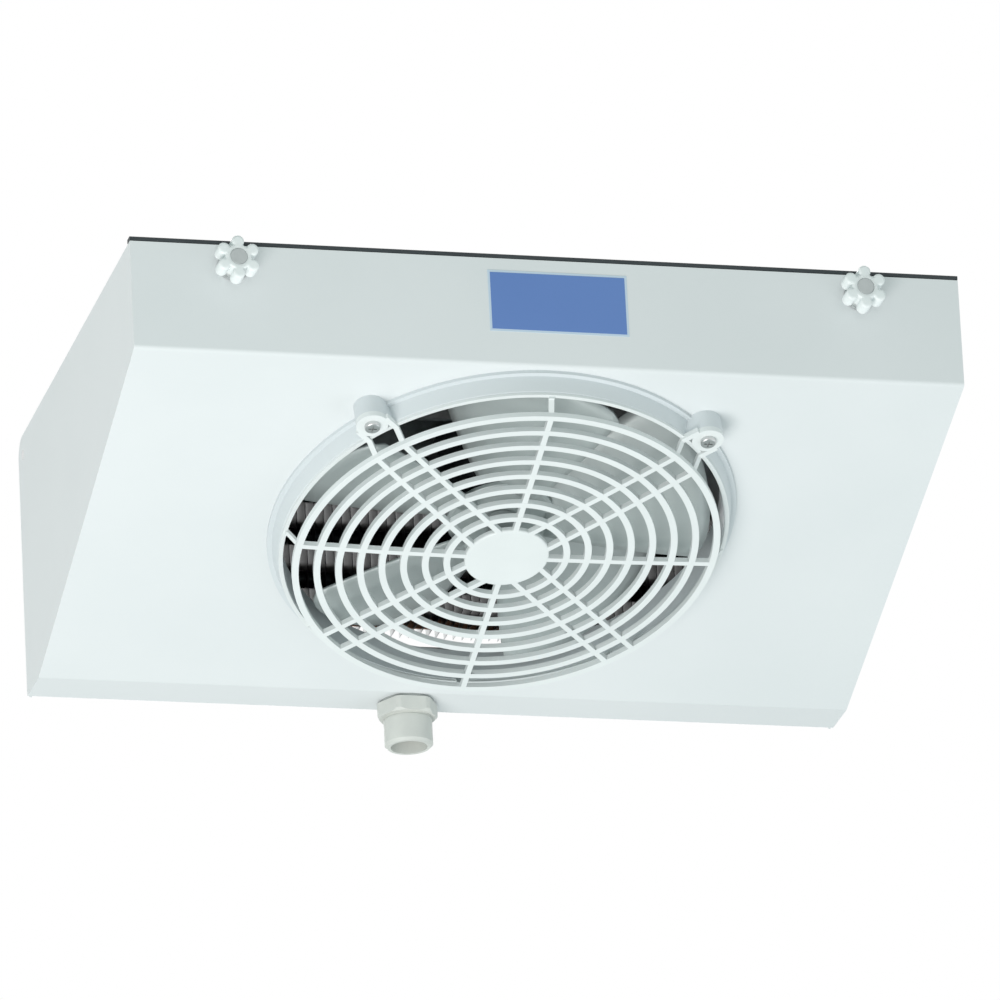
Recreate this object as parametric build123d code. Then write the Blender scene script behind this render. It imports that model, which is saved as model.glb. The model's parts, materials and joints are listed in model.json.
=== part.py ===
from build123d import *
import os
from math import atan2, cos, degrees, pi, radians, sin, sqrt, tan

# Ceiling unit cooler with a sloping fan tray, in millimetres.
# The origin is the middle of the ceiling face: +X right, +Y to the rear, +Z up into the ceiling.

# Casing
width = 450.0              # over the tray's two sides
depth = 290.0              # front lip to rear edge
front_height = 63.0        # ceiling to the lip's lower edge
rear_height = 150.0        # ceiling to the level gutter
gutter_depth = 30.0        # level strip at the rear that carries the drain
rear_wall_height = 38.0    # low wall behind the gutter, under the air outlet
tray_sheet = 1.2
plate_sheet = 1.5
bend_radius = 2.4          # outside radius of the tray's folds
side_gap = 0.9             # tray side to the side rail
gap = 0.3                  # between pieces that part or move

# Top plate
rail_height = 30.0         # ceiling to the rails' lower edge
rail_leg = 10.0
rear_flange_height = 6.0
trim_height = 2.4          # rubber strip along the front top edge
trim_depth = 6.0
slot_end_room = 75.0       # slots' middles in from the casing's ends
slot_edge_room = 55.0      # and from its front and rear
slot_length = 20.0
slot_width = 8.0
plate_screw_radius = 2.0
cable_hole_radius = 9.0
cable_bore_radius = 5.0
cable_side_room = 35.0     # cable hole in from the right side
cable_gap = 19.5           # terminal box to the cable hole's middle
plate_screw_front = 30.0   # first screw behind the front flange
plate_screw_rear = 12.0    # last screw ahead of the coil's rear

# Tray hinge and lip
hinge_inset = 11.0         # pin centre in from the side's rear and top edges
hinge_pin_radius = 3.0
hinge_clinch_radius = 5.0
pin_clearance = 0.05
hem_height = 8.0
tab_width = 22.0           # corner tabs that join the rear wall to the sides

# Thumb knobs
knob_end_room = 55.0       # studs in from the casing's ends
knob_drop = 14.4           # stud centre below the ceiling
stud_radius = 3.0
stud_length = 16.5         # in front of the flange
slot_clearance = 0.5
washer_gap = 0.5           # lip to washer, room for the lip's arc as it drops
washer_radius = 8.5
washer_height = 1.5
knob_neck_radius = 6.5
knob_neck_height = 2.5
knob_height = 9.5
lobe_count = 6
lobe_radius = 3.3
lobe_circle_radius = 8.8
knob_core_radius = 7.2
insert_front = 2.0         # closed end of the insert
insert_radius = 4.7

# Fan opening, moulded ring and guard
fan_centre = 129.0         # from the lip's fold, down the sloping panel
ring_bore_radius = 118.4
ring_wall = 2.8            # inside the panel
rim_width = 2.6
rim_rounding = 1.0
ring_spread = 2.4          # the outer wall widens towards the panel
ring_foot_width = 2.6
ring_foot_height = 2.0
ring_rise = 11.0           # rim above the sloping panel
ring_reach = 9.0           # throat inside the panel
ear_circle_radius = 129.0
ear_radius = 8.5
ear_screw_radius = 2.0
guard_bar = 3.6            # width of a guard ring
guard_thickness = 3.0
guard_hub_radius = 22.8
guard_first_radius = 32.2
guard_inset = 5.35         # outermost face ring inside the ring's bore
guard_rings = 8
guard_step = 8.4           # the face stands above the foot ring on the rim
guard_dome = 2.1           # hub above the outermost face ring
guard_foot_width = 2.2
guard_foot_height = 1.6
spoke_width = 3.0
double_spoke_spacing = 17.0

# Fan
blade_count = 5
fan_start_angle = 57.0     # first blade as seen in the photo
blade_gap = 6.4            # blade tips to the ring's bore
blade_thickness = 1.6
fan_hub_radius = 29.0
fan_hub_height = 3.0
fan_cup_radius = 20.0
fan_cup_height = 8.0
fan_plane_drop = 3.0       # hub's middle below the panel's outer face
shaft_radius = 4.0
cap_radius = 9.0
cap_height = 8.0

# Motor and its strap
motor_radius = 38.0
motor_length = 42.0
motor_gap = 4.0            # fan cup to motor
motor_bore_depth = 14.0
motor_screw_circle = 24.0
strap_width = 30.0
strap_sheet = 1.5
strap_leg_gap = 1.0        # ring's wall to the strap's legs
strap_foot = 14.0

# Coil
coil_floor_room = 42.0     # coil's lower edge to the gutter's level
tube_pitch_deep = 21.65
tubes_high = 4
tube_radius = 4.76
fin_pitch = 5.0
fin_thickness = 0.35
left_end_room = 26.5       # casing's left side to the coil
right_end_room = 66.5      # casing's right side to the coil
coil_rear_margin = 3.2
coil_top = 8.0
end_plate_front_height = 50.0
end_plate_drop = 3.0
end_plate_knee = 4.0       # slope's end, ahead of the coil
end_flange = 12.0          # width of an end plate's top flange
tube_end = 2.0             # tube beyond the end plate
suction_radius = 6.35
liquid_radius = 4.76
pipe_stub = 15.0           # pipe ends behind the casing
pipe_turn_radius = 14.0
stop_bead_height = 0.8     # rolled bead that stops the line's socket
stop_bead_width = 2.0

# Drain
drain_x = -18.0            # left of the middle
drain_radius = 13.2
drain_bore_radius = 10.0
drain_length = 26.0        # below the gutter
drain_flange_radius = 17.0
drain_flange_width = 25.0  # across the gutter
drain_flange_height = 2.5
gasket_radius = 14.8
gasket_height = 1.5
nut_flat = 30.0
nut_height = 8.0
drain_thread_clearance = 0.05
relief_gap = 0.3           # nut to the groove below it
relief_width = 1.2
relief_depth = 0.5

# Terminal box
box_width = 37.0
box_depth = 84.0
box_height = 30.0
box_wall = 2.0
lid_height = 3.0
box_gap = 3.0              # from the right end plate's flange
box_front_gap = 14.0       # from the top plate's front flange
lid_screw_inset = 5.0
lid_screw_radius = 1.5
lid_screw_depth = 6.0      # in the box
lid_screw_head_radius = 2.8
lid_screw_head_height = 1.8
strip_end_gap = 8.0        # lid screws to the terminal strip
strip_width = 16.0
strip_height = 8.0
strip_rib_width = 9.0
strip_rib_height = 6.0
strip_rib_gap = 2.5

# Derived places
front_y = -depth / 2
rear_y = depth / 2
lip_top = -(trim_height + gap)
kink_y = rear_y - gutter_depth
slope = atan2(rear_height - front_height, depth - gutter_depth)
hinge_y = rear_y - hinge_inset
hinge_z = lip_top - hinge_inset
side_inner = width / 2 - tray_sheet
plate_half = side_inner - side_gap
flange_y = front_y + trim_depth
coil_rear = rear_y - coil_rear_margin
coil_front = coil_rear - 2 * tube_pitch_deep
coil_left = left_end_room - width / 2
coil_right = width / 2 - right_end_room
tube_pitch_high = (rear_height - coil_top - coil_floor_room) / tubes_high
coil_bottom = coil_top + tubes_high * tube_pitch_high
drain_y = rear_y - gutter_depth / 2
slot_spacing_x = width - 2 * slot_end_room
slot_spacing_y = depth - 2 * slot_edge_room
knob_spacing = width - 2 * knob_end_room
box_front = flange_y + plate_sheet + box_front_gap
cable_hole_x = width / 2 - cable_side_room
cable_hole_y = box_front + box_depth + cable_gap
rim_radius = ring_bore_radius + rim_width
ring_base_radius = rim_radius + ring_spread
ring_foot_radius = ring_base_radius + ring_foot_width
blade_tip_radius = ring_bore_radius - blade_gap
strap_circle_radius = ring_bore_radius + ring_wall + strap_leg_gap
ring_hole_radius = ring_bore_radius + ring_wall + gap
guard_outer_radius = ring_bore_radius - guard_inset
guard_pitch = (guard_outer_radius - guard_first_radius) / (guard_rings - 1)
guard_foot_radius = ring_bore_radius + rim_width / 2

# The fan's own frame lies on the sloping panel: x to the right, y to the front lip, z out of the panel
fan_frame = Plane(
    origin=(0, front_y + fan_centre * cos(slope), -front_height - fan_centre * sin(slope)),
    x_dir=(1, 0, 0),
    z_dir=(0, -sin(slope), -cos(slope)),
)
hub_z = -fan_plane_drop
motor_front = hub_z - fan_cup_height - motor_gap
motor_rear = motor_front - motor_length


def cylinder_between(start, end, radius):
    """A round bar from one point to another."""
    start, end = Vector(*start), Vector(*end)
    plane = Plane(origin=start, z_dir=end - start)
    return extrude(plane * Circle(radius), (end - start).length)


def side_profile(inset, top, radius):
    """The tray's outline seen from the side, set in by a wall and with rounded folds."""
    front = front_y + inset
    rear = rear_y - inset
    floor = -rear_height + inset
    drop = tan(slope)
    rise = inset / cos(slope)
    low_front = -front_height + rise - inset * drop
    kink = front_y + (rear_height - front_height - inset + rise) / drop
    points = [(front, top), (front, low_front), (kink, floor), (rear, floor), (rear, top)]
    face = make_face(Polyline(*points, close=True))
    folds = [v for v in face.vertices() if v.Y < top - 1]
    return fillet(folds, radius)


def extrude_along_x(face, low, high):
    """Extrude a side view, drawn as (y, z), from one x to another."""
    side = Plane(origin=(low, 0, 0), x_dir=(0, 1, 0), z_dir=(1, 0, 0))
    return extrude(side * face, high - low)


def box_between(low, high):
    """A box from its lowest to its highest corner."""
    size = [h - l for l, h in zip(low, high)]
    middle = [(h + l) / 2 for l, h in zip(low, high)]
    return Pos(*middle) * Box(*size)


def pan_screw(radius, length, head_radius, head_height):
    """A pan-head screw along z: its head stands on z = 0 and its shank points down."""
    head = fillet(Cylinder(head_radius, head_height, align=(Align.CENTER, Align.CENTER, Align.MIN))
                  .edges().sort_by(Axis.Z)[-1], head_height * 0.45)
    shank = Cylinder(radius, length, align=(Align.CENTER, Align.CENTER, Align.MAX))
    cross = Box(head_radius * 1.1, radius * 0.4, head_height) + Box(radius * 0.4, head_radius * 1.1, head_height)
    return head + shank - Pos(0, 0, head_height) * cross


def tray_shell():
    """Lip, sloping panel, gutter, rear wall and both sides, folded from one sheet."""
    shell = extrude_along_x(side_profile(0, lip_top, bend_radius), -width / 2, width / 2)
    hollow = side_profile(tray_sheet, lip_top + 10, bend_radius - tray_sheet)
    shell -= extrude_along_x(hollow, -side_inner, side_inner)
    shell -= box_between((-side_inner, rear_y - 2 * tray_sheet, -rear_height + rear_wall_height),
                         (side_inner, rear_y + 1, 1))
    # The lip's top edge is folded back on itself.
    shell += box_between((-side_inner, front_y + tray_sheet, lip_top - hem_height),
                         (side_inner, front_y + 2 * tray_sheet, lip_top))
    # The top rear corner of each side is round about its hinge pin.
    corner = box_between((-width, hinge_y, hinge_z), (width, rear_y + 1, 1))
    corner -= cylinder_between((-width, hinge_y, hinge_z), (width, hinge_y, hinge_z), hinge_inset)
    shell -= corner
    shell -= cylinder_between((-width, hinge_y, hinge_z), (width, hinge_y, hinge_z),
                              hinge_pin_radius + pin_clearance)
    # Corner tabs join the rear wall to the sides.
    for side in (-1, 1):
        tab_x = side * (side_inner - tray_sheet / 2)
        tab = Pos(tab_x, rear_y - tab_width / 2, -rear_height + rear_wall_height / 2) * Box(
            tray_sheet, tab_width, rear_wall_height)
        shell += tab
    # Open slots let the lip drop off the studs with the knobs still on.
    slot_half = stud_radius + slot_clearance
    for x in knob_places():
        shell -= box_between((x - slot_half, front_y - 1, -knob_drop), (x + slot_half, front_y + 4, 1))
        shell -= cylinder_between((x, front_y - 1, -knob_drop), (x, front_y + 4, -knob_drop), slot_half)
    # Fan opening, screw holes and drain hole.
    shell -= fan_frame * Cylinder(ring_hole_radius, 20)
    for place in ear_places():
        shell -= fan_frame * Pos(*place, 0) * Cylinder(ear_screw_radius, 20)
    shell -= Pos(drain_x, drain_y, -rear_height) * Cylinder(drain_radius + gap, 10)
    return shell


def knob_places():
    return (-knob_spacing / 2, knob_spacing / 2)


def ear_places():
    """Centres of the two screw ears, on the diagonals towards the front lip."""
    reach = ear_circle_radius / sqrt(2)
    return [(-reach, reach), (reach, reach)]


def top_plate():
    """The fixed plate screwed to the ceiling, with a short flange at the rear."""
    rear = rear_y - gap
    plate = box_between((-plate_half, flange_y, -plate_sheet), (plate_half, rear, 0))
    plate += box_between((-plate_half, rear - plate_sheet, -rear_flange_height), (plate_half, rear, 0))
    for x in (-slot_spacing_x / 2, slot_spacing_x / 2):
        for y in (-slot_spacing_y / 2, slot_spacing_y / 2):
            plate -= Pos(x, y, -plate_sheet) * extrude(SlotOverall(slot_length, slot_width), plate_sheet)
    plate -= Pos(cable_hole_x, cable_hole_y) * Cylinder(cable_hole_radius, 10)
    for x, y in plate_screw_places():
        plate -= Pos(x, y) * Cylinder(plate_screw_radius, 10)
    return plate


def front_rail():
    """An angle spot-welded below the plate's front edge, which carries the knob studs."""
    rail = box_between((-plate_half, flange_y, -rail_height), (plate_half, flange_y + plate_sheet, -plate_sheet))
    rail += box_between((-plate_half, flange_y, -2 * plate_sheet), (plate_half, flange_y + rail_leg, -plate_sheet))
    for x in knob_places():
        rail -= cylinder_between((x, flange_y - 1, -knob_drop), (x, flange_y + 3, -knob_drop), stud_radius)
    return rail


def side_rail(side):
    """An angle spot-welded below the plate's side edge, with the hinge pin's hole at its rear."""
    front = flange_y + rail_leg + gap
    rear = rear_y - gap - plate_sheet - gap
    inner, outer = sorted((side * (plate_half - plate_sheet), side * plate_half))
    rail = box_between((inner, front, -rail_height), (outer, rear, -plate_sheet))
    inner, outer = sorted((side * (plate_half - rail_leg), side * plate_half))
    rail += box_between((inner, front, -2 * plate_sheet), (outer, rear, -plate_sheet))
    return rail - cylinder_between((-width, hinge_y, hinge_z), (width, hinge_y, hinge_z), hinge_pin_radius)


def plate_screw_places():
    """Screws through the end plates' top flanges."""
    left = coil_left - plate_sheet - end_flange / 2
    right = coil_right + plate_sheet + end_flange / 2
    return [(x, y) for x in (left, right) for y in (flange_y + plate_screw_front, (coil_front + flange_y) / 2,
                                                  coil_rear - plate_screw_rear)]




def edge_trim():
    """Dark rubber strip that closes the joint between the ceiling and the lip."""
    strip = box_between((-width / 2, front_y, -trim_height), (width / 2, flange_y, 0))
    return fillet(strip.edges().filter_by(Axis.X).sort_by(Axis.Y)[:2], 0.8)


def end_plate(side):
    """A wedge-shaped plate that carries the tube ends and closes the plenum."""
    front = flange_y + rail_leg + gap
    rear = rear_y - gap - plate_sheet - gap
    low = -coil_bottom - end_plate_drop
    knee = coil_front - end_plate_knee
    outline = make_face(Polyline((front, -plate_sheet), (front, -end_plate_front_height), (knee, low),
                                 (rear, low), (rear, -plate_sheet), close=True))
    face_x = coil_left if side < 0 else coil_right
    low_x, high_x = sorted((face_x, face_x + side * plate_sheet))
    plate = extrude_along_x(outline, low_x, high_x)
    flange_low, flange_high = sorted((face_x, face_x + side * (plate_sheet + end_flange)))
    plate += box_between((flange_low, front, -2 * plate_sheet), (flange_high, rear, -plate_sheet))
    for y, z in tube_places():
        plate -= cylinder_between((low_x - 1, y, z), (high_x + 1, y, z), tube_radius + pin_clearance)
    for x, y in plate_screw_places():
        plate -= Pos(x, y) * Cylinder(plate_screw_radius, 10)
    return plate


def tube_places():
    """Tube centres as (y, z), front row then rear row, each from the top down."""
    places = []
    for row in range(2):
        y = coil_front + (row + 0.5) * tube_pitch_deep
        for i in range(tubes_high):
            places.append((y, -coil_top - (i + 0.25 + row / 2) * tube_pitch_high))
    return places


def coil_fins():
    """Thin aluminium fins across the whole coil."""
    count = int((coil_right - coil_left) / fin_pitch) - 1
    middle = (coil_right + coil_left) / 2
    fin = box_between((-fin_thickness / 2, coil_front, -coil_bottom), (fin_thickness / 2, coil_rear, -coil_top))
    return [Pos(middle + (i - (count - 1) / 2) * fin_pitch, 0, 0) * fin for i in range(count)]




def coil_tubes():
    """Straight copper tubes from end plate to end plate."""
    low = coil_left - plate_sheet - tube_end
    high = coil_right + plate_sheet + tube_end
    return [cylinder_between((low, y, z), (high, y, z), tube_radius) for y, z in tube_places()]


def return_bend(first, second, side):
    """A half ring of tube from one tube end to the next."""
    x = coil_left - plate_sheet - tube_end if side < 0 else coil_right + plate_sheet + tube_end
    start, end = Vector(x, *first), Vector(x, *second)
    middle = (start + end) * 0.5
    reach = (end - start).length / 2
    peak = middle + Vector(side * reach, 0, 0)
    path = ThreePointArc(start, peak, end)
    return sweep(Plane(origin=start, z_dir=(side, 0, 0)) * Circle(tube_radius), path)


def return_bends(side):
    """Bends join the rows at the left, and each pair to the next at the right."""
    places = tube_places()
    front, rear = places[:tubes_high], places[tubes_high:]
    if side < 0:
        return [return_bend(front[i], rear[i], side) for i in range(tubes_high)]
    return [return_bend(rear[i], front[i + 1], side) for i in range(tubes_high - 1)]


def coil_pipe(place, radius, end_y):
    """A pipe that leaves a tube end, turns and runs out to the rear."""
    y, z = place
    x = coil_right + plate_sheet + tube_end
    out_x = x + pipe_turn_radius
    turn = ThreePointArc((x, y, z), (x + pipe_turn_radius * sin(pi / 4), y + pipe_turn_radius * (1 - cos(pi / 4)), z),
                         (out_x, y + pipe_turn_radius, z))
    path = Wire([turn, Edge.make_line((out_x, y + pipe_turn_radius, z), (out_x, end_y, z))])
    bead = Cylinder(radius + stop_bead_height, stop_bead_width, align=(Align.CENTER, Align.CENTER, Align.MIN))
    bead = fillet(bead.edges().filter_by(GeomType.CIRCLE), stop_bead_height / 2)
    pipe = sweep(Plane(origin=(x, y, z), z_dir=(1, 0, 0)) * Circle(radius), path)
    return pipe + Pos(out_x, end_y - pipe_stub, z) * Rot(90, 0, 0) * bead


def cable_grommet():
    """A rubber ring in the top plate for the supply cable."""
    lip = cable_hole_radius + 2
    ring = Pos(cable_hole_x, cable_hole_y, -plate_sheet) * Cylinder(
        cable_hole_radius, plate_sheet, align=(Align.CENTER, Align.CENTER, Align.MIN))
    collar = Cylinder(lip, 2.5, align=(Align.CENTER, Align.CENTER, Align.MAX))
    collar = fillet(collar.edges().sort_by(Axis.Z)[0], 1.0)
    ring += Pos(cable_hole_x, cable_hole_y, -plate_sheet) * collar
    return ring - Pos(cable_hole_x, cable_hole_y) * Cylinder(cable_bore_radius, 20)


def knob_studs():
    """Threaded studs pressed into the front rail."""
    studs = []
    for x in knob_places():
        stud = cylinder_between((x, flange_y + plate_sheet + 1.5, -knob_drop), (x, flange_y - stud_length, -knob_drop),
                                stud_radius)
        stud = chamfer(stud.edges().sort_by(Axis.Y)[0], 0.6)
        head = cylinder_between((x, flange_y + plate_sheet, -knob_drop),
                                (x, flange_y + plate_sheet + 1.5, -knob_drop), stud_radius + 2)
        studs.append(stud + head)
    return studs


def hinge_pins():
    """Pins pressed into the side rails; the tray's sides turn on their outer ends."""
    pins = []
    for side in (-1, 1):
        inner = side * (plate_half - plate_sheet - 2)
        outer = side * width / 2
        shank = cylinder_between((inner, hinge_y, hinge_z), (outer, hinge_y, hinge_z), hinge_pin_radius)
        clinch = cylinder_between((inner, hinge_y, hinge_z),
                                  (side * (plate_half - plate_sheet), hinge_y, hinge_z), hinge_clinch_radius)
        pins.append(shank + clinch)
    return pins


def plate_screws():
    """Screws that hold the end plates up to the top plate."""
    screw = Rot(180, 0, 0) * pan_screw(plate_screw_radius, 2.8, 3.6, 2.2)
    return [Pos(x, y, -2 * plate_sheet) * screw for x, y in plate_screw_places()]


def terminal_place():
    """Low corner of the terminal box in plan, under the top plate at the right."""
    x = coil_right + plate_sheet + end_flange + box_gap
    return x, box_front


def lid_screw_places():
    x, y = terminal_place()
    return [(x + dx, y + dy) for dx in (lid_screw_inset, box_width - lid_screw_inset)
            for dy in (lid_screw_inset, box_depth - lid_screw_inset)]


def terminal_box():
    """An open moulded box fixed under the top plate."""
    x, y = terminal_place()
    w = box_width
    box = box_between((x, y, -plate_sheet - box_height), (x + w, y + box_depth, -plate_sheet))
    box = fillet(box.edges().filter_by(Axis.Z), 3)
    box -= box_between((x + box_wall, y + box_wall, -plate_sheet - box_height - 1),
                       (x + w - box_wall, y + box_depth - box_wall, -plate_sheet - box_wall))
    for px, py in lid_screw_places():
        post = Pos(px, py, -plate_sheet - box_height) * Cylinder(
            4, box_height, align=(Align.CENTER, Align.CENTER, Align.MIN))
        box += post
    for px, py in lid_screw_places():
        box -= Pos(px, py, -plate_sheet - box_height) * Cylinder(lid_screw_radius, 16)
    return box


def terminal_lid():
    x, y = terminal_place()
    top = -plate_sheet - box_height
    lid = box_between((x, y, top - lid_height), (x + box_width, y + box_depth, top))
    lid = fillet(lid.edges().filter_by(Axis.Z), 3)
    lid = fillet(lid.faces().sort_by(Axis.Z)[0].edges(), 1)
    for px, py in lid_screw_places():
        lid -= Pos(px, py, top) * Cylinder(lid_screw_radius, 4 * lid_height)
    return lid


def terminal_screws():
    screw = Rot(180, 0, 0) * pan_screw(lid_screw_radius, lid_height + lid_screw_depth, lid_screw_head_radius,
                                       lid_screw_head_height)
    return [Pos(x, y, -plate_sheet - box_height - lid_height) * screw for x, y in lid_screw_places()]


def terminal_strip():
    """A row of screw terminals inside the box."""
    x, y = terminal_place()
    w = box_width
    length = box_depth - 2 * (lid_screw_inset + strip_end_gap)
    top = -plate_sheet - box_wall
    base = Pos(x + w / 2, y + box_depth / 2, top - strip_height / 2) * Box(strip_width, length, strip_height)
    strip = base
    count = 6
    pitch = length / count
    for i in range(count):
        cell_y = y + box_depth / 2 + (i - (count - 1) / 2) * pitch
        strip += Pos(x + w / 2, cell_y, top - strip_height - strip_rib_height / 2) * Box(
            strip_rib_width, pitch - strip_rib_gap, strip_rib_height)
    return strip


def knob(x):
    """A six-lobed thumb knob with a short neck, bored for its insert."""
    profile = Circle(knob_core_radius)
    for i in range(lobe_count):
        angle = radians(i * 360 / lobe_count + 90)
        profile += Pos(lobe_circle_radius * cos(angle), lobe_circle_radius * sin(angle)) * Circle(lobe_radius)
    body = extrude(profile, knob_height)
    body = fillet(body.faces().sort_by(Axis.Z)[-1].edges(), 1.4)
    body = Pos(0, 0, knob_neck_height) * body
    body += Cylinder(knob_neck_radius, knob_neck_height, align=(Align.CENTER, Align.CENTER, Align.MIN))
    body -= Cylinder(insert_radius, 60)
    return knob_frame(x) * body


def knob_frame(x):
    """Where a knob meets its washer, with z forward out of the lip."""
    return Plane(origin=(x, front_y - washer_gap - washer_height, -knob_drop), x_dir=(1, 0, 0), z_dir=(0, -1, 0))


def knob_insert(x):
    """The threaded insert moulded into a knob, closed at its front."""
    length = knob_neck_height + knob_height
    body = Cylinder(insert_radius, length, align=(Align.CENTER, Align.CENTER, Align.MIN))
    body -= Cylinder(stud_radius + pin_clearance, length - insert_front, align=(Align.CENTER, Align.CENTER, Align.MIN))
    body = chamfer(body.edges().filter_by(GeomType.CIRCLE).sort_by(Axis.Z)[-1], 0.4)
    return knob_frame(x) * body


def knob_washer(x):
    washer = Pos(0, 0, -washer_height) * Cylinder(
        washer_radius, washer_height, align=(Align.CENTER, Align.CENTER, Align.MIN))
    washer -= Cylinder(stud_radius + 2 * pin_clearance, 20)
    return knob_frame(x) * washer


def ring_profile():
    """Half section of the ring: straight bore, tapered outer wall and a foot on the panel."""
    inside = ring_bore_radius + ring_wall
    points = [(ring_bore_radius, ring_rise), (rim_radius, ring_rise), (ring_base_radius, ring_foot_height),
              (ring_foot_radius, ring_foot_height), (ring_foot_radius, 0), (inside, 0), (inside, -ring_reach),
              (ring_bore_radius, -ring_reach)]
    face = make_face(Polyline(*points, close=True))
    rim_corner = face.vertices().sort_by(Axis.Y)[-2:].sort_by(Axis.X)[-1]
    return fillet(rim_corner, rim_rounding)


def fan_ring():
    """The moulded ring in the panel, with two bosses for the guard's screws."""
    ring = revolve(Plane.XZ * ring_profile(), Axis.Z)
    core = Cylinder((ring_bore_radius + rim_radius) / 2, 2 * ring_rise + 2)
    for x, y in ear_places():
        boss = Pos(x, y) * Cylinder(ear_radius, ring_rise, align=(Align.CENTER, Align.CENTER, Align.MIN))
        web = Rot(0, 0, degrees(atan2(y, x))) * Pos(ear_circle_radius / 2, 0, ring_rise / 2) * Box(
            ear_circle_radius, 2 * ear_radius, ring_rise)
        ring += boss + web - core
    for x, y in ear_places():
        ring -= Pos(x, y, ring_rise) * Cylinder(ear_screw_radius, 2 * ring_rise + 2)
    return fan_frame * ring


def guard_lift(radius):
    """How far the guard's face stands above its foot ring."""
    return guard_step + guard_dome * (1 - (radius / guard_outer_radius) ** 2)


def guard_spoke(end):
    """One bar of the guard along +x, from the hub over the rings and down its leg to the rim."""
    start = guard_hub_radius * 0.7
    stations = [start, (start + guard_outer_radius) / 2, guard_outer_radius]
    low = [(r, guard_lift(r)) for r in stations] + [(guard_foot_radius - guard_foot_width / 2, 0), (end, 0)]
    high = [(r, z + guard_thickness) for r, z in reversed(low)]
    face = make_face(Polyline(*low, *high, close=True))
    return Pos(0, spoke_width / 2, 0) * extrude(Plane.XZ * face, spoke_width)


def fan_guard():
    """Moulded guard: hub disc, raised rings, foot ring, and spokes of which two pairs end in screw ears."""
    hub = Pos(0, 0, guard_lift(0)) * Cylinder(guard_hub_radius, guard_thickness,
                                             align=(Align.CENTER, Align.CENTER, Align.MIN))
    guard = fillet(hub.edges().sort_by(Axis.Z)[-1], 1.2)
    for i in range(guard_rings):
        radius = guard_first_radius + i * guard_pitch
        ring = Circle(radius + guard_bar / 2) - Circle(radius - guard_bar / 2)
        guard += Pos(0, 0, guard_lift(radius)) * extrude(ring, guard_thickness)
    half = guard_foot_width / 2
    guard += extrude(Circle(guard_foot_radius + half) - Circle(guard_foot_radius - half), guard_foot_height)
    spoke = guard_spoke(guard_foot_radius)
    long_spoke = guard_spoke(ear_circle_radius)
    for quarter in range(4):
        guard += Rot(0, 0, quarter * 90) * spoke
        turn = Rot(0, 0, 45 + quarter * 90)
        bar = long_spoke if quarter < 2 else spoke
        for side in (-1, 1):
            guard += turn * Pos(0, side * double_spoke_spacing / 2, 0) * bar
    for x, y in ear_places():
        guard += Pos(x, y) * Cylinder(ear_radius, guard_thickness, align=(Align.CENTER, Align.CENTER, Align.MIN))
    for x, y in ear_places():
        guard -= Pos(x, y) * Cylinder(ear_screw_radius, 40)
    return fan_frame * Pos(0, 0, ring_rise) * guard


def guard_screws():
    screw = pan_screw(ear_screw_radius, guard_thickness + ring_rise - 1, 4.2, 2.4)
    return [fan_frame * Pos(x, y, ring_rise + guard_thickness) * screw for x, y in ear_places()]


def strap_outline():
    """The strap seen along its width: two feet, two legs and the bar behind the motor."""
    inside = -tray_sheet
    bar_low = motor_rear - strap_sheet
    leg = strap_circle_radius
    end = leg + strap_foot
    t = strap_sheet
    points = [(-end, inside), (-end, inside - t), (-leg - t, inside - t)]
    points += [(-leg - t, bar_low), (leg + t, bar_low), (leg + t, inside - t), (end, inside - t), (end, inside)]
    points += [(leg, inside), (leg, motor_rear), (-leg, motor_rear), (-leg, inside)]
    return make_face(Polyline(*points, close=True))


def motor_strap():
    """A folded steel strap that carries the motor behind the fan."""
    strap = Pos(0, strap_width / 2, 0) * extrude(Plane.XZ * strap_outline(), strap_width)
    for x in motor_screw_places():
        strap -= Pos(x, 0, motor_rear) * Cylinder(ear_screw_radius, 20)
    return fan_frame * strap


def motor_screw_places():
    return (-motor_screw_circle / 2, motor_screw_circle / 2)


def fan_motor():
    """A small induction motor: a ribbed stack between two end bells."""
    bell = motor_length * 0.27
    stack = motor_length - 2 * bell
    profile = [(0, 0), (motor_radius * 0.55, 0), (motor_radius * 0.8, bell * 0.4), (motor_radius * 0.86, bell)]
    profile += [(motor_radius, bell), (motor_radius, bell + stack), (motor_radius * 0.86, bell + stack)]
    profile += [(motor_radius * 0.8, motor_length - bell * 0.4), (motor_radius * 0.55, motor_length),
                (0, motor_length)]
    body = revolve(Plane.XZ * make_face(Polyline(*profile, close=True)), Axis.Z)
    for i in range(4):
        flat = Rot(0, 0, i * 90) * Pos(motor_radius * 1.4, 0, motor_length / 2) * Box(
            motor_radius, motor_radius * 2, stack + 0.2)
        body -= flat
    body = Pos(0, 0, motor_rear) * body
    body -= Pos(0, 0, motor_front) * Cylinder(shaft_radius + pin_clearance, 2 * motor_bore_depth)
    for x in motor_screw_places():
        body -= Pos(x, 0, motor_rear) * Cylinder(ear_screw_radius, 16)
    return fan_frame * body


def motor_screws():
    screw = Rot(180, 0, 0) * pan_screw(ear_screw_radius, strap_sheet + 7, 4.0, 2.4)
    return [fan_frame * Pos(x, 0, motor_rear - strap_sheet) * screw for x in motor_screw_places()]


def blade_section(radius, chord, pitch, camber):
    """A thin curved section across the blade, as seen along the blade from its tip."""
    start, end = Vector(-chord / 2, 0), Vector(chord / 2, 0)
    outer = ThreePointArc(start, (0, camber + blade_thickness / 2), end)
    inner = ThreePointArc(end, (0, camber - blade_thickness / 2), start)
    face = make_face(outer + inner)
    plane = Plane(origin=(radius, 0, 0), x_dir=(0, 1, 0), z_dir=(1, 0, 0))
    return plane * Rot(0, 0, pitch) * face


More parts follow.
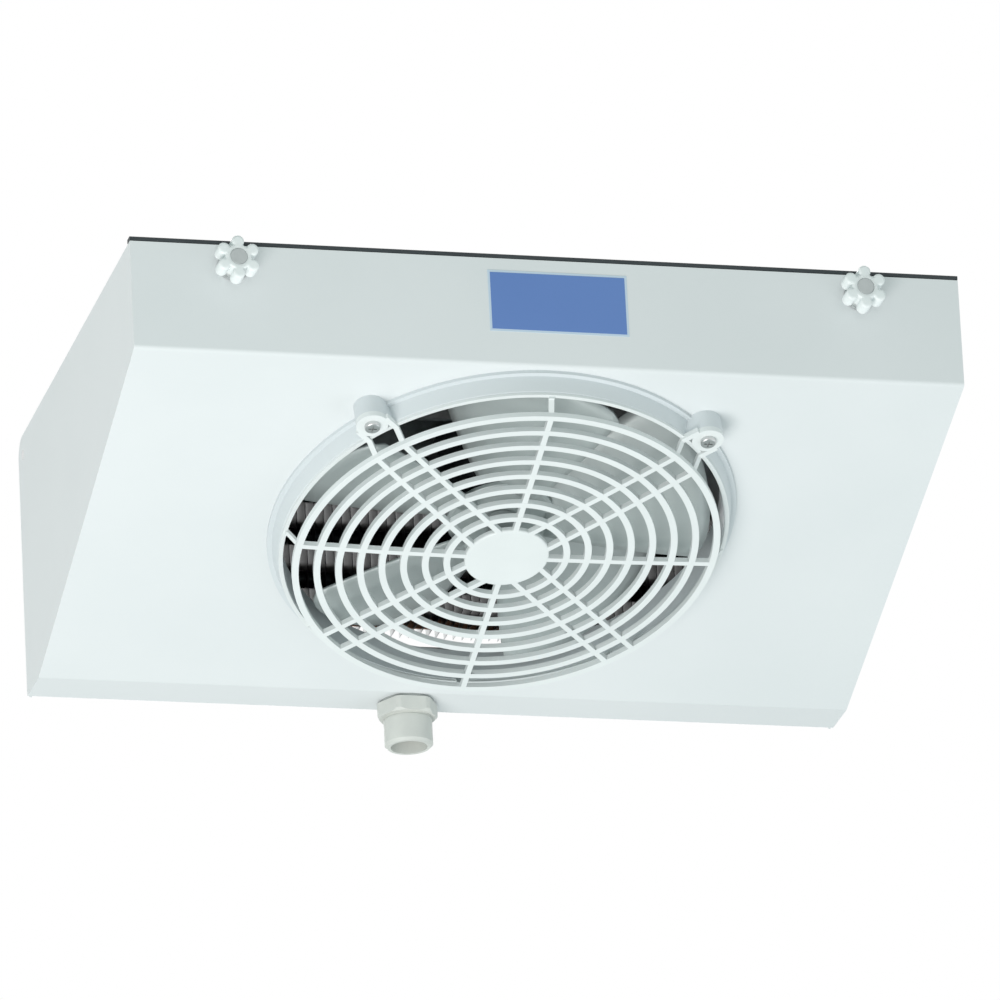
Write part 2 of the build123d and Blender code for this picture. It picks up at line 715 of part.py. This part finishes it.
def fan_blade():
    """One aluminium blade, wider and flatter towards its tip."""
    sections = [blade_section(fan_hub_radius * 0.72, 34, 28, 3.0),
                blade_section(blade_tip_radius * 0.6, 66, 21, 6.0),
                blade_section(blade_tip_radius + 2, 94, 13, 7.0)]
    blade = loft(sections)
    rim = Cylinder(blade_tip_radius, 100)
    return blade & rim


def fan_blades():
    """The stamped hub with its blades."""
    hub = Pos(0, 0, -fan_hub_height / 2) * Cylinder(
        fan_hub_radius, fan_hub_height, align=(Align.CENTER, Align.CENTER, Align.MIN))
    hub += Pos(0, 0, -fan_cup_height) * Cylinder(
        fan_cup_radius, fan_cup_height, align=(Align.CENTER, Align.CENTER, Align.MIN))
    blade = fan_blade()
    for i in range(blade_count):
        hub += Rot(0, 0, fan_start_angle + i * 360 / blade_count) * blade
    hub -= Cylinder(shaft_radius, 100)
    return fan_frame * Pos(0, 0, hub_z) * hub


def fan_shaft():
    """The motor's shaft, in its bearing at one end and through the fan's hub at the other."""
    top = hub_z + fan_hub_height / 2
    bottom = motor_front - motor_bore_depth + 1
    shaft = Pos(0, 0, bottom) * Cylinder(shaft_radius, top - bottom, align=(Align.CENTER, Align.CENTER, Align.MIN))
    return fan_frame * shaft


def fan_cap():
    """A domed cap that clamps the fan to its shaft."""
    cap = Cylinder(cap_radius, cap_height, align=(Align.CENTER, Align.CENTER, Align.MIN))
    cap = fillet(cap.edges().sort_by(Axis.Z)[-1], 4)
    return fan_frame * Pos(0, 0, hub_z + fan_hub_height / 2) * cap


def drain_spigot():
    """A flanged drain tube through the gutter."""
    floor = -rear_height + tray_sheet
    tube = Pos(drain_x, drain_y, -rear_height - drain_length) * Cylinder(
        drain_radius, floor + rear_height + drain_length, align=(Align.CENTER, Align.CENTER, Align.MIN))
    tube = chamfer(tube.edges().sort_by(Axis.Z)[0], 1.5)
    flange = Cylinder(drain_flange_radius, drain_flange_height, align=(Align.CENTER, Align.CENTER, Align.MIN))
    flange &= Box(100, drain_flange_width, 100)
    flange = Pos(drain_x, drain_y, floor) * flange
    relief = Cylinder(drain_radius + 5, relief_width, align=(Align.CENTER, Align.CENTER, Align.MAX))
    relief -= Cylinder(drain_radius - relief_depth, relief_width, align=(Align.CENTER, Align.CENTER, Align.MAX))
    nut_bottom = -rear_height - gasket_height - nut_height
    tube -= Pos(drain_x, drain_y, nut_bottom - relief_gap) * relief
    return tube + flange - Pos(drain_x, drain_y, -rear_height) * Cylinder(drain_bore_radius, 4 * drain_length)


def drain_gasket():
    ring = Circle(gasket_radius) - Circle(drain_radius + drain_thread_clearance)
    return Pos(drain_x, drain_y, -rear_height - gasket_height) * extrude(ring, gasket_height)


def drain_nut():
    """A moulded hexagon nut under the gutter."""
    nut = extrude(RegularPolygon(nut_flat / 2, 6, major_radius=False), nut_height)
    bevel = Cylinder(nut_flat / 2 / cos(pi / 6) - 0.8, nut_height, align=(Align.CENTER, Align.CENTER, Align.MIN))
    nut &= chamfer(bevel.edges().sort_by(Axis.Z)[0], 1.2)
    nut -= Cylinder(drain_radius + drain_thread_clearance, 60)
    return Pos(drain_x, drain_y, -rear_height - gasket_height - nut_height) * nut


def save(name, shape):
    """Write one sub-part; a list becomes a group of separate solids."""
    if isinstance(shape, (list, tuple)):
        shape = Compound(children=[s if isinstance(s, Solid) else s.solid() for s in shape])
    export_step(shape, f"parts/{name}.step")


os.makedirs("parts", exist_ok=True)
left, right = knob_places()
front_tubes = tube_places()[:tubes_high]
rear_tubes = tube_places()[tubes_high:]
parts = {
    "top_plate": top_plate(),
    "front_rail": front_rail(),
    "side_rail_left": side_rail(-1),
    "side_rail_right": side_rail(1),
    "edge_trim": edge_trim(),
    "cable_grommet": cable_grommet(),
    "end_plate_left": end_plate(-1),
    "end_plate_right": end_plate(1),
    "plate_screws": plate_screws(),
    "coil_fins": coil_fins(),
    "coil_tubes": coil_tubes(),
    "return_bends_left": return_bends(-1),
    "return_bends_right": return_bends(1),
    "suction_pipe": coil_pipe(front_tubes[0], suction_radius, rear_y + pipe_stub),
    "liquid_pipe": coil_pipe(rear_tubes[-1], liquid_radius, rear_y + pipe_stub),
    "terminal_box": terminal_box(),
    "terminal_lid": terminal_lid(),
    "terminal_screws": terminal_screws(),
    "terminal_strip": terminal_strip(),
    "knob_studs": knob_studs(),
    "hinge_pins": hinge_pins(),
    "tray_shell": tray_shell(),
    "fan_ring": fan_ring(),
    "fan_guard": fan_guard(),
    "guard_screws": guard_screws(),
    "motor_strap": motor_strap(),
    "fan_motor": fan_motor(),
    "motor_screws": motor_screws(),
    "drain_spigot": drain_spigot(),
    "drain_gasket": drain_gasket(),
    "drain_nut": drain_nut(),
    "fan_blades": fan_blades(),
    "fan_shaft": fan_shaft(),
    "fan_cap": fan_cap(),
    "knob_left": knob(left),
    "knob_insert_left": knob_insert(left),
    "knob_washer_left": knob_washer(left),
    "knob_right": knob(right),
    "knob_insert_right": knob_insert(right),
    "knob_washer_right": knob_washer(right),
}
for name, shape in parts.items():
    save(name, shape)
    print(name)
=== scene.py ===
import bmesh
import bpy
import json
from math import cos, radians, sin
from mathutils import Matrix, Vector


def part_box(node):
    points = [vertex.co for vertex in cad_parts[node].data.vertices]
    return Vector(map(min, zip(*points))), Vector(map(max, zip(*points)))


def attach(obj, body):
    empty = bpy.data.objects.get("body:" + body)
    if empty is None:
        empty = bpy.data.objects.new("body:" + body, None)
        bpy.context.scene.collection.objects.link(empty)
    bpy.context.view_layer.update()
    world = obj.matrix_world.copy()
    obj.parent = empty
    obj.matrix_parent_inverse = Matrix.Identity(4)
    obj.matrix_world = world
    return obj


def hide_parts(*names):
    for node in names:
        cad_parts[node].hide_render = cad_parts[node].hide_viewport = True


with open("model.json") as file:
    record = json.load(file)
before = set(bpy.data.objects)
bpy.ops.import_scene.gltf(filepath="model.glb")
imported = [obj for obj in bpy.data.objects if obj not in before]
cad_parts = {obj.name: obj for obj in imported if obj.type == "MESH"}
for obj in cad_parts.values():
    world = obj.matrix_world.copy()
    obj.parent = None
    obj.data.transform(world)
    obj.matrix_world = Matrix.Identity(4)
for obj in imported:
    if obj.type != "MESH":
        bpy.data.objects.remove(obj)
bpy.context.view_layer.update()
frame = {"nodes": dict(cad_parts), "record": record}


# Drip tray.
# Folded sheet with a white powder coat, which has a faint orange peel over lip, panel, gutter and sides.
# Its finish is the first to use the worn_and_highlit_finish group, which every later finish uses with its own values.
edge_radius = 0.0008
edge_samples = 4
edge_gain = 4.0
cloud_low = 0.33
cloud_high = 0.67


def worn_and_highlit_group():
    """A shader node group: two close colours that drift, edges lifted toward a lighter colour as wear and painted
    highlight, uneven roughness and normal.
    """
    tree = bpy.data.node_groups.new("worn_and_highlit_finish", "ShaderNodeTree")
    face = tree.interface
    for label in ("Light", "Dark", "Edge"):
        face.new_socket(name=label, in_out="INPUT", socket_type="NodeSocketColor")
    for label, start in (("Cloud Scale", 9.0), ("Cells", 0.0), ("Speckle Scale", 900.0), ("Speckle", 0.15),
                         ("Edge Wear", 0.3), ("Roughness", 0.4), ("Roughness Drift", 0.12), ("Bump", 0.2),
                         ("Depth", 0.0002)):
        face.new_socket(name=label, in_out="INPUT", socket_type="NodeSocketFloat").default_value = start
    face.new_socket(name="Stretch", in_out="INPUT", socket_type="NodeSocketVector").default_value = (1, 1, 1)
    face.new_socket(name="Color", in_out="OUTPUT", socket_type="NodeSocketColor")
    face.new_socket(name="Roughness", in_out="OUTPUT", socket_type="NodeSocketFloat")
    face.new_socket(name="Normal", in_out="OUTPUT", socket_type="NodeSocketVector")
    entry = tree.nodes.new("NodeGroupInput").outputs
    leave = tree.nodes.new("NodeGroupOutput").inputs

    def link(source, target):
        tree.links.new(source, target)

    def calc(operation, first, second):
        node = tree.nodes.new("ShaderNodeMath")
        node.operation = operation
        node.use_clamp = operation != "SUBTRACT"
        for socket, value in zip(node.inputs, (first, second)):
            if isinstance(value, float):
                socket.default_value = value
            else:
                link(value, socket)
        return node.outputs["Value"]

    def blend(amount, first, second):
        node = tree.nodes.new("ShaderNodeMixRGB")
        link(amount, node.inputs["Fac"])
        link(first, node.inputs["Color1"])
        link(second, node.inputs["Color2"])
        return node.outputs["Color"]

    place = tree.nodes.new("ShaderNodeTexCoord")
    stretched = tree.nodes.new("ShaderNodeVectorMath")
    stretched.operation = "MULTIPLY"
    link(place.outputs["Object"], stretched.inputs[0])
    link(entry["Stretch"], stretched.inputs[1])
    cloud = tree.nodes.new("ShaderNodeTexNoise")
    cloud.inputs["Detail"].default_value = 4.0
    cells = tree.nodes.new("ShaderNodeTexVoronoi")
    speckle = tree.nodes.new("ShaderNodeTexNoise")
    speckle.inputs["Detail"].default_value = 2.0
    for texture, scale in ((cloud, "Cloud Scale"), (cells, "Cloud Scale"), (speckle, "Speckle Scale")):
        link(stretched.outputs["Vector"], texture.inputs["Vector"])
        link(entry[scale], texture.inputs["Scale"])
    spread = tree.nodes.new("ShaderNodeMapRange")
    spread.inputs["From Min"].default_value = cloud_low
    spread.inputs["From Max"].default_value = cloud_high
    link(cloud.outputs["Fac"], spread.inputs["Value"])
    drift = blend(entry["Cells"], spread.outputs["Result"], cells.outputs["Color"])
    grey = tree.nodes.new("ShaderNodeSeparateColor")
    link(drift, grey.inputs["Color"])
    drift = grey.outputs["Red"]
    fleck = calc("MULTIPLY", calc("SUBTRACT", speckle.outputs["Fac"], 0.5), entry["Speckle"])
    tone = calc("ADD", drift, fleck)
    rounded = tree.nodes.new("ShaderNodeBevel")
    rounded.samples = edge_samples
    rounded.inputs["Radius"].default_value = edge_radius
    flat = tree.nodes.new("ShaderNodeNewGeometry")
    turn = tree.nodes.new("ShaderNodeVectorMath")
    turn.operation = "DOT_PRODUCT"
    link(rounded.outputs["Normal"], turn.inputs[0])
    link(flat.outputs["Normal"], turn.inputs[1])
    # Edges lean toward the Edge colour, partly as wear and partly as a painted highlight.
    edge = calc("MULTIPLY", calc("SUBTRACT", 1.0, turn.outputs["Value"]), edge_gain)
    worn = calc("MULTIPLY", calc("MULTIPLY", edge, entry["Edge Wear"]), speckle.outputs["Fac"])
    link(blend(worn, blend(tone, entry["Dark"], entry["Light"]), entry["Edge"]), leave["Color"])
    uneven = calc("MULTIPLY", calc("SUBTRACT", drift, 0.5), entry["Roughness Drift"])
    link(calc("ADD", entry["Roughness"], uneven), leave["Roughness"])
    bump = tree.nodes.new("ShaderNodeBump")
    link(entry["Bump"], bump.inputs["Strength"])
    link(entry["Depth"], bump.inputs["Distance"])
    link(speckle.outputs["Fac"], bump.inputs["Height"])
    link(bump.outputs["Normal"], leave["Normal"])
    return tree


worn_and_highlit_finish = worn_and_highlit_group()


def finish(name, light, dark, roughness, metallic=0.0, edge=None, **settings):
    """A material with the shared finish group of wear and painted edge highlight; settings names the group's inputs
    with underscores for spaces.
    """
    material = bpy.data.materials.new(name)
    material.use_nodes = True
    tree = material.node_tree
    shader = tree.nodes["Principled BSDF"]
    shader.inputs["Metallic"].default_value = metallic
    group = tree.nodes.new("ShaderNodeGroup")
    group.node_tree = worn_and_highlit_finish
    group.inputs["Light"].default_value = (*light, 1)
    group.inputs["Dark"].default_value = (*dark, 1)
    group.inputs["Edge"].default_value = (*(edge or light), 1)
    group.inputs["Roughness"].default_value = roughness
    for label, value in settings.items():
        group.inputs[label.replace("_", " ").title()].default_value = value
    for label, target in (("Color", "Base Color"), ("Roughness", "Roughness"), ("Normal", "Normal")):
        tree.links.new(group.outputs[label], shader.inputs[target])
    return material


def dress(material, *nodes):
    """Puts a material on whole CAD nodes."""
    for node in nodes:
        for place in frame["nodes"][node].material_slots:
            place.material = material


white_paint = finish("white_paint", (0.83, 0.85, 0.86), (0.80, 0.825, 0.835), 0.38, edge=(0.88, 0.90, 0.91),
                     speckle_scale=700.0, bump=0.12, depth=0.0001)
paint_shader = white_paint.node_tree.nodes["Principled BSDF"]
paint_shader.inputs["Coat Weight"].default_value = 0.15
paint_shader.inputs["Coat Roughness"].default_value = 0.25
dress(white_paint, "tray_shell")


# Fan collar.
# A satin white moulding, a touch greyer than the paint and the guard, as painted shade for the collar's wall.
shaded_ring_plastic = finish("shaded_ring_plastic", (0.73, 0.77, 0.79), (0.70, 0.74, 0.76), 0.36, edge=(0.80, 0.84, 0.86),
                      speckle_scale=1400.0, bump=0.06, depth=0.0001)
dress(shaded_ring_plastic, "fan_ring")


# Fan guard.
# White moulded bars with the slight sheen and flow marks of injected plastic.
white_plastic = finish("white_plastic", (0.84, 0.87, 0.87), (0.81, 0.84, 0.84), 0.34, edge=(0.88, 0.91, 0.91),
                       cloud_scale=45.0, speckle_scale=1400.0, bump=0.06, depth=0.0001)
dress(white_plastic, "fan_guard")


# Fan blades and cap.
# A fan stamped from rolled aluminium: wide blades, each with its counter-clockwise edge deeper in the collar, on a
# flat hub with a cup over the motor's shaft, and a grey cap in the middle.
blade_count = 5
blade_first = radians(21.0)
blade_root = 0.024
blade_tip = 0.112
blade_half_root = radians(32.0)
blade_half_tip = radians(26.5)
blade_drop_root = 0.014
blade_drop_tip = 0.038
blade_sink = 0.007
blade_camber = 0.006
blade_sheet = 0.0016
blade_corner = 0.07
blade_rows = 12
blade_columns = 16
full_turn = radians(360.0)
hub_middle_below_cap = 0.0055
hub_profile = ((0.0041, 0.0015), (0.0275, 0.0015), (0.0290, 0.0005), (0.0290, -0.0015), (0.0215, -0.0015),
               (0.0200, -0.0030), (0.0200, -0.0080), (0.0041, -0.0080))
hub_steps = 64


def fan_frame():
    """The fan's own frame: x to the right, y to the front lip, z out of the sloping panel."""
    axis = next(joint["axis"] for joint in frame["record"]["behaviour"]["joints"] if joint["name"] == "fan_spin")
    out = Vector(axis).normalized()
    right = Vector((1, 0, 0))
    low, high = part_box("fan_cap")
    origin = (Vector(low) + Vector(high)) / 2 - out * hub_middle_below_cap
    turned = Matrix((right, out.cross(right), out)).transposed().to_4x4()
    return Matrix.Translation(origin) @ turned


def blade_grid(mesh, start):
    """One blade as a sheet of quads from the hub to the tip, one edge dipping away from the guard."""
    grid = []
    for i in range(blade_rows + 1):
        along = i / blade_rows
        half = blade_half_root + (blade_half_tip - blade_half_root) * along
        drop = blade_drop_root + (blade_drop_tip - blade_drop_root) * along
        for j in range(blade_columns + 1):
            across = 2 * j / blade_columns - 1
            reach = along * (1 - blade_corner * across ** 8)
            radius = blade_root + (blade_tip - blade_root) * reach
            angle = start + half * across
            rise = -drop * across / 2 + along * (blade_camber * (1 - across ** 2) - blade_sink)
            grid.append(mesh.verts.new((radius * cos(angle), radius * sin(angle), rise)))
    row = blade_columns + 1
    for i in range(blade_rows):
        for j in range(blade_columns):
            corner = i * row + j
            mesh.faces.new((grid[corner], grid[corner + row], grid[corner + row + 1], grid[corner + 1]))


def fan_piece(name, mesh, smooth_angle):
    """A piece on the fan's body from a mesh in the fan's own frame."""
    data = bpy.data.meshes.new(name)
    mesh.transform(fan_frame())
    bmesh.ops.recalc_face_normals(mesh, faces=mesh.faces)
    mesh.to_mesh(data)
    mesh.free()
    data.shade_smooth()
    data.set_sharp_from_angle(angle=smooth_angle)
    data.materials.append(blade_metal)
    piece = bpy.data.objects.new(name, data)
    bpy.context.collection.objects.link(piece)
    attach(piece, "fan")
    return piece


blade_metal = finish("blade_aluminium", (0.60, 0.645, 0.64), (0.53, 0.575, 0.57), 0.42, metallic=0.25,
                     edge=(0.72, 0.76, 0.76), cloud_scale=25.0, speckle_scale=500.0, stretch=(0.15, 1, 1),
                     speckle=0.5)
cap_plastic = finish("cap_plastic", (0.45, 0.47, 0.47), (0.42, 0.44, 0.44), 0.5)
blades_mesh = bmesh.new()
for blade in range(blade_count):
    blade_grid(blades_mesh, blade_first + blade * full_turn / blade_count)
stamped_blades = fan_piece("stamped_blades", blades_mesh, radians(60.0))
sheet = stamped_blades.modifiers.new("sheet", "SOLIDIFY")
sheet.thickness = blade_sheet
sheet.offset = 0.0
hub_mesh = bmesh.new()
ring = [hub_mesh.verts.new((radius, 0, height)) for radius, height in hub_profile]
edges = [hub_mesh.edges.new((ring[i], ring[(i + 1) % len(ring)])) for i in range(len(ring))]
bmesh.ops.spin(hub_mesh, geom=ring + edges, cent=(0, 0, 0), axis=(0, 0, 1), angle=full_turn, steps=hub_steps)
bmesh.ops.remove_doubles(hub_mesh, verts=hub_mesh.verts, dist=0.00001)
fan_piece("stamped_hub", hub_mesh, radians(30.0))
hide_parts("fan_blades")
dress(cap_plastic, "fan_cap")


# Motor.
# Dark enamel with a slightly lumpy cast surface.
motor_enamel = finish("motor_enamel", (0.035, 0.038, 0.04), (0.022, 0.025, 0.028), 0.45, edge=(0.09, 0.095, 0.10),
                      speckle_scale=350.0, bump=0.5, depth=0.0003)
dress(motor_enamel, "fan_motor")


# Zinc-coated sheet of the fixed body.
# Dull grey with the spangle of hot-dipped zinc and brighter edges, partly bare cut edges and partly painted highlight.
zinc_sheet = finish("zinc_sheet", (0.56, 0.58, 0.59), (0.42, 0.44, 0.45), 0.42, metallic=0.8, edge=(0.75, 0.77, 0.78),
                    cloud_scale=110.0, cells=0.6, roughness_drift=0.25, edge_wear=0.6)
dress(zinc_sheet, "top_plate", "front_rail", "side_rail_left", "side_rail_right", "end_plate_left",
      "end_plate_right", "motor_strap")


# Screws, pins, studs and washers.
# Bright zinc plating, with lighter edges as wear and painted highlight.
bright_zinc = finish("bright_zinc", (0.66, 0.67, 0.67), (0.56, 0.57, 0.57), 0.3, metallic=0.9, edge=(0.80, 0.81, 0.81),
                     cloud_scale=250.0, edge_wear=0.6)
dress(bright_zinc, "plate_screws", "terminal_screws", "guard_screws", "motor_screws", "knob_studs", "hinge_pins",
      "knob_washer_left", "knob_washer_right", "fan_shaft")


# Coil fins.
# Thin aluminium with upright rolling lines and bright edges, partly cut edges and partly painted highlight.
# The fan blows into them from the front, so that side is painted near-black as shade, fading out towards the rear.
painted_shade_colour = (0.022, 0.026, 0.026, 1)
coil_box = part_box("coil_fins")
shade_start = coil_box[0][1] + 0.026
shade_end = coil_box[1][1] - 0.002
shade_patch_scale = 160.0
shade_patch_reach = 0.008


def paint_intake_shade(material):
    """Mixes painted shade into a finished material, near-black at the coil's front and gone at its rear."""
    tree = material.node_tree
    place = tree.nodes.new("ShaderNodeTexCoord")
    axes = tree.nodes.new("ShaderNodeSeparateXYZ")
    patches = tree.nodes.new("ShaderNodeTexNoise")
    patches.inputs["Scale"].default_value = shade_patch_scale
    drift = tree.nodes.new("ShaderNodeMath")
    drift.operation = "MULTIPLY_ADD"
    drift.inputs[1].default_value = shade_patch_reach
    clear = tree.nodes.new("ShaderNodeMapRange")
    clear.inputs["From Min"].default_value = shade_start
    clear.inputs["From Max"].default_value = shade_end
    cover = tree.nodes.new("ShaderNodeMixRGB")
    cover.inputs["Color1"].default_value = painted_shade_colour
    shader = tree.nodes["Principled BSDF"].inputs["Base Color"]
    metal = shader.links[0].from_socket
    tree.links.new(place.outputs["Object"], axes.inputs["Vector"])
    tree.links.new(place.outputs["Object"], patches.inputs["Vector"])
    tree.links.new(patches.outputs["Fac"], drift.inputs[0])
    tree.links.new(axes.outputs["Y"], drift.inputs[2])
    tree.links.new(drift.outputs["Value"], clear.inputs["Value"])
    tree.links.new(clear.outputs["Result"], cover.inputs["Fac"])
    tree.links.new(metal, cover.inputs["Color2"])
    tree.links.new(cover.outputs["Color"], shader)


fin_sheet = finish("fin_sheet", (0.70, 0.72, 0.72), (0.58, 0.60, 0.60), 0.4, metallic=0.8, edge=(0.85, 0.87, 0.87),
                   cloud_scale=40.0, speckle_scale=600.0, stretch=(1, 1, 0.1), speckle=0.5)
paint_intake_shade(fin_sheet)
dress(fin_sheet, "coil_fins")


# Copper tubes, bends and pipes.
# Drawn copper with brown tarnish in soft patches; the tubes between the fins share the fins' painted shade.
copper = finish("copper", (0.72, 0.37, 0.23), (0.42, 0.20, 0.12), 0.32, metallic=0.95, edge=(0.85, 0.50, 0.36),
                cloud_scale=70.0, speckle=0.4, roughness_drift=0.3)
shaded_copper = copper.copy()
shaded_copper.name = "shaded_copper"
paint_intake_shade(shaded_copper)
dress(copper, "return_bends_left", "return_bends_right", "suction_pipe", "liquid_pipe")
dress(shaded_copper, "coil_tubes")


# Rubber.
# The black trim along the ceiling edge and the cable grommet, and the drain's grey gasket.
rubber = finish("black_rubber", (0.035, 0.045, 0.05), (0.02, 0.028, 0.032), 0.6, edge=(0.08, 0.09, 0.10),
                cloud_scale=60.0, bump=0.4)
grey_rubber = finish("grey_rubber", (0.40, 0.42, 0.41), (0.34, 0.36, 0.35), 0.6, cloud_scale=60.0, bump=0.3)
dress(rubber, "edge_trim", "cable_grommet")
dress(grey_rubber, "drain_gasket")


# Terminal box.
# Grey moulded box and lid with a spark-eroded texture.
box_plastic = finish("box_plastic", (0.42, 0.44, 0.45), (0.38, 0.40, 0.41), 0.5, edge=(0.52, 0.54, 0.55),
                     speckle_scale=1100.0, bump=0.5)
dress(box_plastic, "terminal_box", "terminal_lid")


# Terminal strip.
# Off-white moulding inside the box.
strip_plastic = finish("strip_plastic", (0.72, 0.71, 0.66), (0.66, 0.65, 0.60), 0.45, cloud_scale=60.0)
dress(strip_plastic, "terminal_strip")


# Drain.
# Warm grey moulded tube and nut, slightly chalky.
drain_plastic = finish("drain_plastic", (0.72, 0.73, 0.69), (0.65, 0.66, 0.63), 0.45, edge=(0.80, 0.80, 0.77),
                       cloud_scale=60.0, speckle=0.4, edge_wear=0.6)
dress(drain_plastic, "drain_spigot", "drain_nut")


# Thumb knobs.
# Milky plastic that lets a little light through, with a grey insert in the middle.
knob_plastic = finish("knob_plastic", (0.90, 0.93, 0.93), (0.86, 0.90, 0.90), 0.3, edge=(0.94, 0.96, 0.96),
                      cloud_scale=90.0, bump=0.06)
knob_shader = knob_plastic.node_tree.nodes["Principled BSDF"]
knob_shader.inputs["Subsurface Weight"].default_value = 0.35
knob_shader.inputs["Subsurface Radius"].default_value = (0.004, 0.004, 0.004)
knob_shader.inputs["Subsurface Scale"].default_value = 1.0
insert_metal = finish("insert_metal", (0.53, 0.56, 0.56), (0.47, 0.50, 0.50), 0.45, metallic=0.3, cloud_scale=200.0)
dress(knob_plastic, "knob_left", "knob_right")
dress(insert_metal, "knob_insert_left", "knob_insert_right")


# Plain blue plate on the lip.
# A thin raised plate with a pale edge and no lettering.
plate_width = 0.0755
plate_height = 0.0345
plate_right_of_middle = 0.0050
plate_below_ceiling = 0.0268
plate_edge = 0.0012
edge_front = 0.0002
blue_front = 0.0003
plate_centre = Vector((plate_right_of_middle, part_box("tray_shell")[0][1], -plate_below_ceiling))


def slab(name, width, height, front, back, material):
    """A flat plate parallel to the lip, between two depths in front of it."""
    corners = []
    for y in (back, front):
        for x, z in ((-1, -1), (1, -1), (1, 1), (-1, 1)):
            corners.append((plate_centre.x + x * width / 2, y, plate_centre.z + z * height / 2))
    faces = [(0, 1, 2, 3), (7, 6, 5, 4), (0, 4, 5, 1), (1, 5, 6, 2), (2, 6, 7, 3), (3, 7, 4, 0)]
    mesh = bpy.data.meshes.new(name)
    mesh.from_pydata(corners, [], faces)
    mesh.validate()
    piece = bpy.data.objects.new(name, mesh)
    bpy.context.collection.objects.link(piece)
    piece.data.materials.append(material)
    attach(piece, "tray")


pale_edge = finish("plate_edge", (0.62, 0.74, 0.86), (0.60, 0.72, 0.84), 0.35)
plate_blue = finish("plate_blue", (0.140, 0.260, 0.60), (0.124, 0.240, 0.57), 0.35)
slab("blue_plate_edge", plate_width, plate_height, plate_centre.y - edge_front, plate_centre.y, pale_edge)
slab("blue_plate", plate_width - 2 * plate_edge, plate_height - 2 * plate_edge, plate_centre.y - blue_front,
     plate_centre.y - edge_front, plate_blue)


# Floor.
# A plain pale floor far below, since the cooler hangs under a ceiling and is looked at from beneath.
floor_drop = 9.0
floor_size = 47.0
floor_mesh = bpy.data.meshes.new("floor")
half = floor_size / 2
floor_mesh.from_pydata([(-half, -half, -floor_drop), (half, -half, -floor_drop), (half, half, -floor_drop),
                        (-half, half, -floor_drop)], [], [(0, 1, 2, 3)])
floor = bpy.data.objects.new("floor", floor_mesh)
bpy.context.collection.objects.link(floor)
floor_mesh.materials.append(finish("floor_paint", (0.86, 0.87, 0.88), (0.84, 0.85, 0.86), 0.8, cloud_scale=0.5))


# World.
# White behind the object for the camera and its reflections, softer and bluer for the light itself.
world = bpy.data.worlds.new("studio")
bpy.context.scene.world = world
world.use_nodes = True
sky = world.node_tree
sky_shader = sky.nodes["Background"]
path = sky.nodes.new("ShaderNodeLightPath")
seen = sky.nodes.new("ShaderNodeMath")
seen.operation = "MAXIMUM"
mirrored = sky.nodes.new("ShaderNodeMath")
mirrored.operation = "MAXIMUM"
backdrop = sky.nodes.new("ShaderNodeMixRGB")
backdrop.inputs["Color1"].default_value = (0.485, 0.555, 0.545, 1)
backdrop.inputs["Color2"].default_value = (1, 1, 1, 1)
sky.links.new(path.outputs["Is Camera Ray"], seen.inputs[0])
sky.links.new(path.outputs["Is Transmission Ray"], seen.inputs[1])
sky.links.new(seen.outputs["Value"], mirrored.inputs[0])
sky.links.new(path.outputs["Is Glossy Ray"], mirrored.inputs[1])
sky.links.new(mirrored.outputs["Value"], backdrop.inputs["Fac"])
sky.links.new(backdrop.outputs["Color"], sky_shader.inputs["Color"])


# Lights.
# One large soft light from below the left, a weaker one from below the right and one from behind.
lit_point = Vector((0, 0, -0.08))


def area_light(name, place, size, power, colour):
    """A square lamp at a place, aimed at the cooler."""
    lamp = bpy.data.lights.new(name, "AREA")
    lamp.shape = "SQUARE"
    lamp.size = size
    lamp.energy = power
    lamp.color = colour
    holder = bpy.data.objects.new(name, lamp)
    bpy.context.collection.objects.link(holder)
    holder.location = place
    holder.rotation_euler = (lit_point - Vector(place)).to_track_quat("-Z", "Y").to_euler()


area_light("key", (-0.80, -0.92, -1.45), 1.0, 20.0, (1.0, 0.985, 0.97))
area_light("fill", (1.3, -0.5, -1.4), 1.2, 5.0, (0.92, 0.96, 1.0))
area_light("rear", (0.2, 2.0, 0.6), 1.2, 10.0, (1.0, 1.0, 1.0))


# Camera.
# A long lens from below and a little to the left, as in the photograph.
azimuth = radians(-14.68)
elevation = radians(-21.17)
roll = radians(-2.91)
distance = 6.934
pan = 0.0063
rise = -0.0134
aim_height = -0.0675
focal_over_frame = 12.947
back_to_camera = Vector((sin(azimuth) * cos(elevation), -cos(azimuth) * cos(elevation), sin(elevation)))
level_right = Vector((cos(azimuth), sin(azimuth), 0))
level_up = back_to_camera.cross(level_right)
right = cos(roll) * level_right + sin(roll) * level_up
up = -sin(roll) * level_right + cos(roll) * level_up
lens = bpy.data.cameras.new("camera")
lens.sensor_width = 36.0
lens.lens = focal_over_frame * lens.sensor_width
lens.clip_end = 60.0
camera = bpy.data.objects.new("camera", lens)
bpy.context.collection.objects.link(camera)
camera.matrix_world = Matrix.Translation(
    Vector((0, 0, aim_height)) + pan * right + rise * up + distance * back_to_camera) @ Matrix(
    (right, up, back_to_camera)).transposed().to_4x4()
bpy.context.scene.camera = camera
bpy.context.scene.view_settings.view_transform = "Standard"
